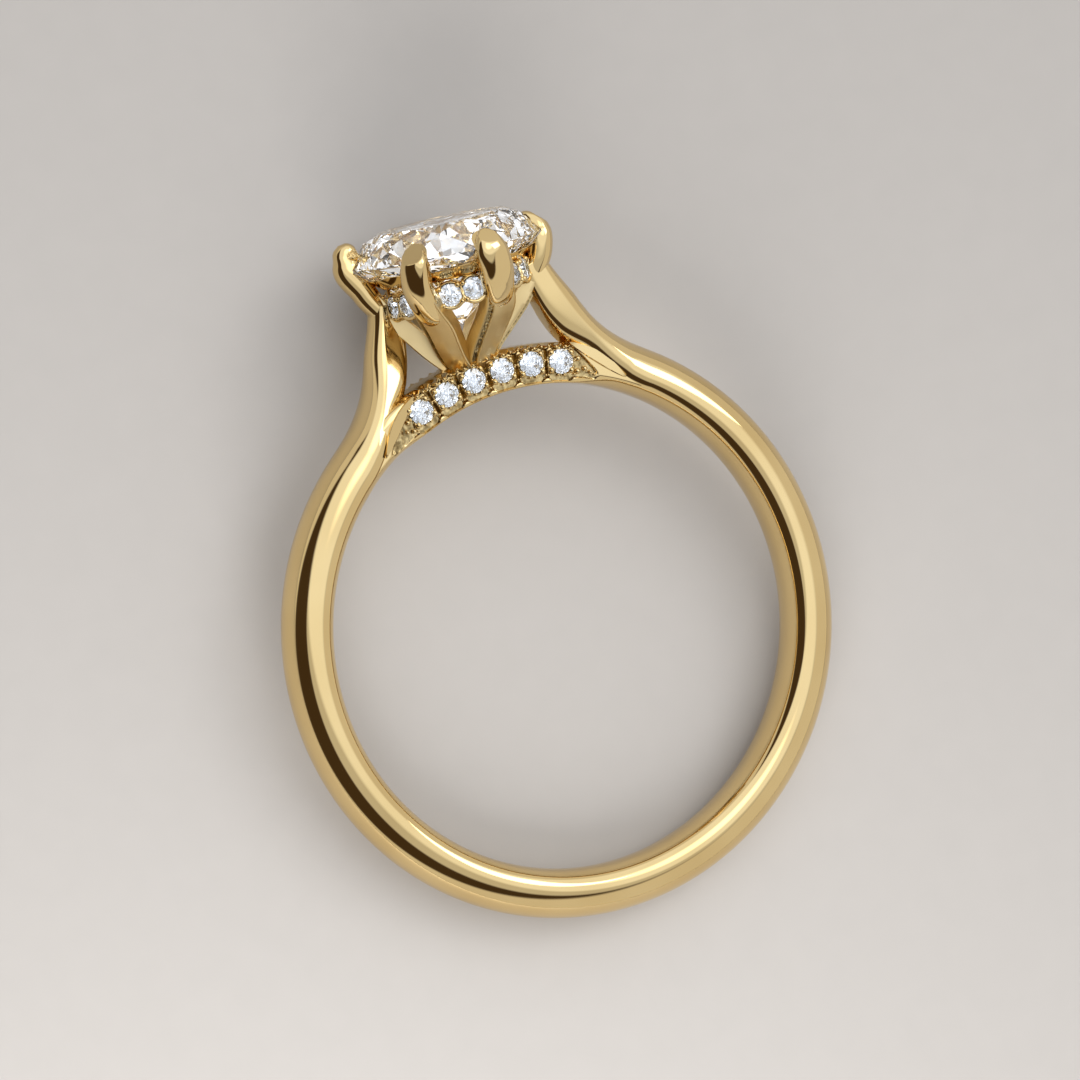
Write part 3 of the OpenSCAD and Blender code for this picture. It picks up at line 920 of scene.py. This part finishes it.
# the crown of a brilliant over a pavilion of staggered rings of corners, each ring stirred
# a little in and out by a sine, which breaks the light up into needles
def crushedBrilliant(diameter, cut):
    crown, faces = brilliant(diameter, cut)
    faces = [f for f in faces if max(f) < girdleEnd]
    r, half, deep = diameter / 2, diameter * cut["girdle"] / 2, diameter * cut["pavilion"]
    points, i = [crown[:girdleEnd]], np.arange(16)
    following, above = (i + 1) % 16, 32
    for k, share in enumerate(cut["rings"]):
        stirred = share * (1 + cut["stir"] * np.sin(2.4 * i + 1.7 * k))
        a = np.radians((i + (0.5 if k % 2 == 0 else 0.0)) * 22.5)
        height = -half - deep * (1 - share * (1 + cut["stir"] * np.cos(3.1 * i + 0.9 * k)))
        points.append(aroundAxis(r * stirred, a, height))
        below = girdleEnd + 16 * k
        between, peak = (i, following) if k % 2 == 0 else (following, i)
        faces += np.stack([below + between, above + following, above + i], axis=-1).tolist()
        faces += np.stack([below + i, below + following, above + peak], axis=-1).tolist()
        above = below
    points.append(np.array([[0.0, 0.0, -half - deep]]))
    faces += np.stack([np.full(16, above + 16), above + following, above + i], axis=-1).tolist()
    return np.vstack(points), faces


# a brilliant in each place, each turned a little further than the last
def buildSmallStones(name, places, diameter, node):
    points, faces = brilliant(diameter, smallCut)
    for k, (origin, axes) in enumerate(places):
        shape = points @ turnMatrix("Z", 13.0 * k).T @ axes + origin, faces
        info = {"slot": "small_diamond", "node": f"{node}_{k + 1}"}
        placePiece(f"{name}_{k + 1}", shape, [smallShadedDiamond], info, sharp=0)


# the centre stone, leaning with the claws
def buildCentreStone():
    points, faces = crushedBrilliant(head["stone"], centreCut)
    shape = fromHead(leaned(points + np.array([0, 0, girdleY]))), faces
    info = {"slot": "centre_diamond", "node": "centre_stone"}
    placePiece("cut_centre_stone", shape, [centreDiamond], info, sharp=0)


buildCentreStone()
buildSmallStones("halo_brilliant", haloPlaces(), halo["stone"], "halo_stone")
buildSmallStones("front_bridge_brilliant", bridgePlaces(1), bridge["stone"], "front_bridge_stone")
buildSmallStones("back_bridge_brilliant", bridgePlaces(-1), bridge["stone"], "back_bridge_stone")
print("stones built")


# floor, light and camera
floorLook = {"size": 0.6, "colour": (0.455, 0.427, 0.398), "grain": 900.0, "fleck": 0.96}
# distance and aim are in millimetres
cameraView = {"azimuth": 178.0, "elevation": 70.6, "lean": 18.8, "distance": 400.0,
              "aim": (0.34, 2.96, 0.08), "pixelsPerMm": 29.41, "imageSize": 1080, "sensor": 36.0}
# the room: each layer is a round patch of light painted over the last. off is its angle from
# the way to the camera, turn its direction round that, and soft the width of its blurred edge
roomBase = (0.78, 0.76, 0.73)
roomLayers = [
    {"off": 12, "turn": 215, "radius": 60, "soft": 6, "colour": (0.065, 0.042, 0.022)},
    {"off": 16, "turn": 10, "radius": 38, "soft": 6, "colour": (0.68, 0.69, 0.70)},
    {"off": 37, "turn": 63, "radius": 45, "soft": 8, "colour": (1.14, 1.19, 1.28)},
    {"off": 34, "turn": 55, "radius": 15, "soft": 14, "colour": (2.4, 2.4, 2.4)},
]
# what the stones see of the room: patches of light and dark, by a noise over the directions
stoneRoom = {"scale": 3.0, "stops": [
    (0.30, (0.16, 0.15, 0.13)), (0.37, (0.62, 0.61, 0.58)),
    (0.50, (1.02, 1.04, 1.09)), (0.64, (2.2, 2.23, 2.3)),
]}
lights = [
    {"name": "key_softbox", "azimuth": 20, "elevation": 50, "size": 0.3, "energy": 0.7, "distance": 0.7},
    {"name": "low_softbox", "azimuth": -118, "elevation": 26, "size": 0.06, "energy": 0.07,
     "distance": 0.075},
]


# the unit vector towards an azimuth and an elevation
def direction(azimuth, elevation):
    a, e = math.radians(azimuth), math.radians(elevation)
    return Vector((math.cos(e) * math.cos(a), math.cos(e) * math.sin(a), math.sin(e)))


# the camera's axes: right and up across the picture, turned by the lean, and back from the ring
def viewAxes():
    back = direction(cameraView["azimuth"], cameraView["elevation"])
    right = Vector((0, 1, 0)).cross(back).normalized()
    up = back.cross(right)
    lean = math.radians(cameraView["lean"])
    return right * math.cos(lean) - up * math.sin(lean), up * math.cos(lean) + right * math.sin(lean), back


# a plain floor at the ring's lowest point, faintly flecked by a noise
def buildFloor():
    low, half = cadBox[0][2], floorLook["size"] / 2
    corners = [(-half, -half, low), (half, -half, low), (half, half, low), (-half, half, low)]
    mesh = bpy.data.meshes.new("floor")
    mesh.from_pydata(corners, [], [(0, 1, 2, 3)])
    material = bpy.data.materials.new("pale_floor")
    material.use_nodes = True
    nodes, links = material.node_tree.nodes, material.node_tree.links
    shader = nodes["Principled BSDF"]
    shader.inputs["Roughness"].default_value = 0.9
    place = nodes.new("ShaderNodeTexCoord")
    noise = nodes.new("ShaderNodeTexNoise")
    noise.inputs["Scale"].default_value = floorLook["grain"]
    links.new(place.outputs["Object"], noise.inputs["Vector"])
    tone = nodes.new("ShaderNodeValToRGB")
    tone.color_ramp.elements[0].color = (*[floorLook["fleck"] * c for c in floorLook["colour"]], 1)
    tone.color_ramp.elements[1].color = (*floorLook["colour"], 1)
    links.new(noise.outputs["Fac"], tone.inputs["Fac"])
    links.new(tone.outputs["Color"], shader.inputs["Base Color"])
    mesh.materials.append(material)
    floor = addObject("floor", mesh)
    floor.visible_transmission = False  # the stones look past the floor into the room


# a node that mixes a first colour with a second, still to be set, by a share
def blendNode(nodes, links, share, first):
    blend = nodes.new("ShaderNodeMix")
    blend.data_type = "RGBA"
    links.new(share, blend.inputs[0])
    links.new(first, blend.inputs[6])
    return blend


# the room round the ring: patches of light mixed by the angle from each one's middle
def buildRoom():
    world = bpy.data.worlds.new("studio")
    world.use_nodes = True
    nodes, links = world.node_tree.nodes, world.node_tree.links
    place = nodes.new("ShaderNodeTexCoord")
    right, up, back = viewAxes()
    colour = nodes.new("ShaderNodeRGB")
    colour.outputs[0].default_value = (*roomBase, 1)
    result = colour.outputs[0]
    for layer in roomLayers:
        off, turn = math.radians(layer["off"]), math.radians(layer["turn"])
        middle = back * math.cos(off) + (right * math.cos(turn) + up * math.sin(turn)) * math.sin(off)
        dot = nodes.new("ShaderNodeVectorMath")
        dot.operation = "DOT_PRODUCT"
        dot.inputs[1].default_value = middle
        links.new(place.outputs["Generated"], dot.inputs[0])
        edge = nodes.new("ShaderNodeMapRange")
        edge.interpolation_type = "SMOOTHSTEP"
        for end, way in (("From Min", 1), ("From Max", -1)):
            away = math.radians(layer["radius"] + way * layer["soft"] / 2)
            edge.inputs[end].default_value = math.cos(away)
        links.new(dot.outputs["Value"], edge.inputs["Value"])
        blend = blendNode(nodes, links, edge.outputs["Result"], result)
        blend.inputs[7].default_value = (*layer["colour"], 1)
        result = blend.outputs[2]
    noise = nodes.new("ShaderNodeTexNoise")
    noise.inputs["Scale"].default_value = stoneRoom["scale"]
    links.new(place.outputs["Generated"], noise.inputs["Vector"])
    patches = nodes.new("ShaderNodeValToRGB")
    ramp = patches.color_ramp.elements
    for k, (at, colour) in enumerate(stoneRoom["stops"]):
        stop = ramp[k] if k < 2 else ramp.new(at)
        stop.position, stop.color = at, (*colour, 1)
    links.new(noise.outputs["Fac"], patches.inputs["Fac"])
    path = nodes.new("ShaderNodeLightPath")
    blend = blendNode(nodes, links, path.outputs["Is Transmission Ray"], result)
    links.new(patches.outputs["Color"], blend.inputs[7])
    links.new(blend.outputs[2], nodes["Background"].inputs["Color"])
    bpy.context.scene.world = world


# square softboxes that face the ring. Only the key light shows in the polished gold
def buildLights():
    for look in lights:
        data = bpy.data.lights.new(look["name"], "AREA")
        data.shape, data.size, data.energy = "SQUARE", look["size"], look["energy"]
        lamp = addObject(look["name"], data)
        way = direction(look["azimuth"], look["elevation"])
        lamp.location = way * look["distance"]
        lamp.rotation_euler = way.to_track_quat("Z", "Y").to_euler()
        lamp.visible_glossy = look["name"] == "key_softbox"


# the camera stands far back, with a lens that gives the picture's pixels to the millimetre
def buildCamera():
    view = cameraView
    right, up, back = viewAxes()
    data = bpy.data.cameras.new("camera")
    data.sensor_width = view["sensor"]
    data.lens = view["pixelsPerMm"] * view["distance"] * view["sensor"] / view["imageSize"]
    data.clip_end = 10
    camera = addObject("camera", data)
    place = Matrix.Translation((Vector(view["aim"]) + back * view["distance"]) * mm)
    camera.matrix_world = place @ Matrix((right, up, back)).transposed().to_4x4()
    bpy.context.scene.camera = camera
    bpy.context.scene.view_settings.view_transform = "Standard"
    # light crosses a cut stone many times before it leaves
    paths = bpy.context.scene.cycles
    paths.max_bounces, paths.glossy_bounces, paths.transmission_bounces = 20, 16, 20


buildFloor()
buildRoom()
buildLights()
buildCamera()
print("stage ready")
